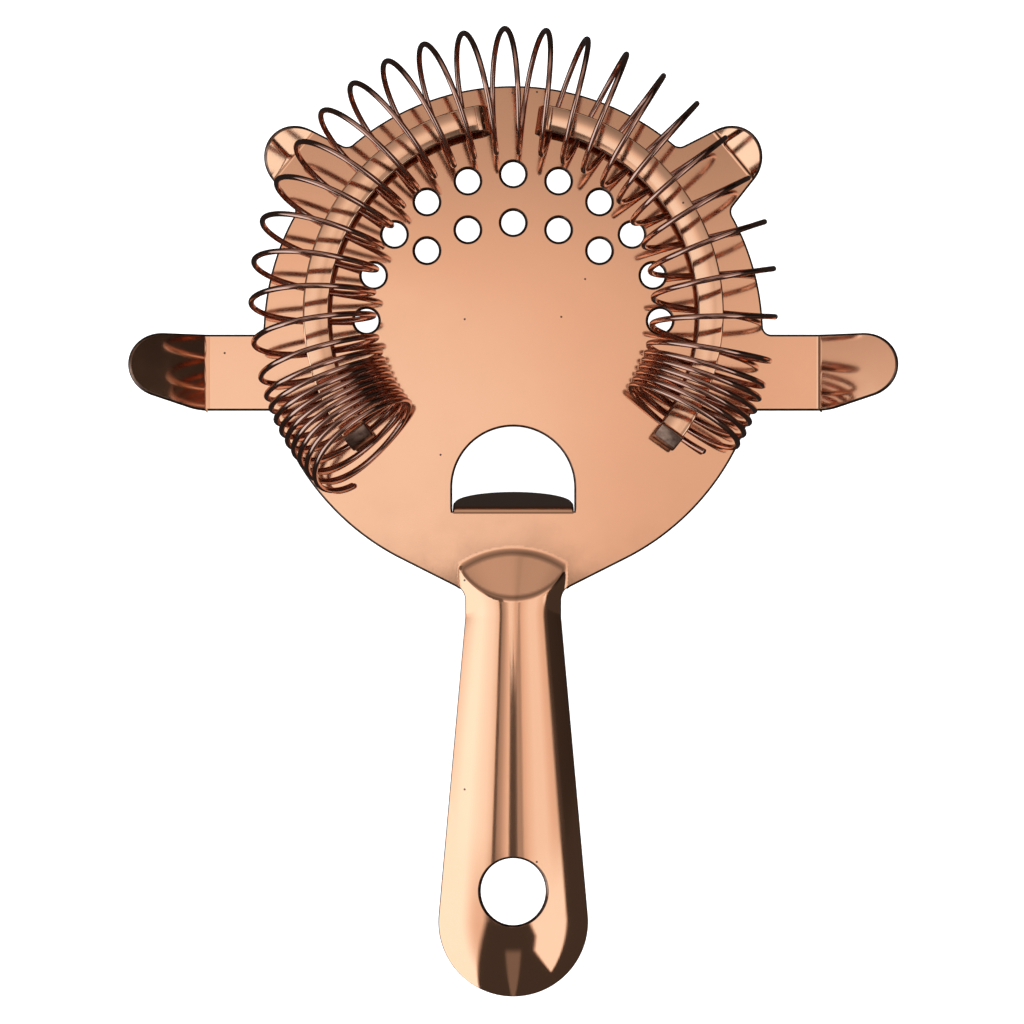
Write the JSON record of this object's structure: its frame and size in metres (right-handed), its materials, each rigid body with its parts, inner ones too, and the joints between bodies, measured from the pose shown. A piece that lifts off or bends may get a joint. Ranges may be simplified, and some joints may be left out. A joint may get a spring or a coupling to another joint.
{
  "type": "hawthorne strainer",
  "caption": "Flat bar strainer: perforated disc with rest prongs, arched handle with hanging hole, and a coil spring threaded round two rails.",
  "frame": {"origin": "centre of the disc, on the face that carries the spring, where the prongs rest on a mixing tin's rim", "axes": "+X to the right, +Y from the handle to the front of the disc, +Z out of the spring side"},
  "size_m": [0.1208, 0.1534, 0.0338],
  "materials": {
    "polished_plate": "mirror-polished copper plating on pressed steel",
    "rail_strip": "copper-plated steel strip",
    "spring_wire": "copper-plated round spring wire"
  },
  "bodies": {
    "frame": {"strainer_plate": "polished_plate", "left_spring_rail": "rail_strip", "right_spring_rail": "rail_strip"},
    "spring": {"coil_spring": "spring_wire"}
  },
  "joints": [
    {"name": "spring_press", "type": "slide", "parent": "frame", "child": "spring", "axis": [0, 1, 0], "range_m": [-0.003, 0], "stiffness_N_per_m": 500}
  ]
}
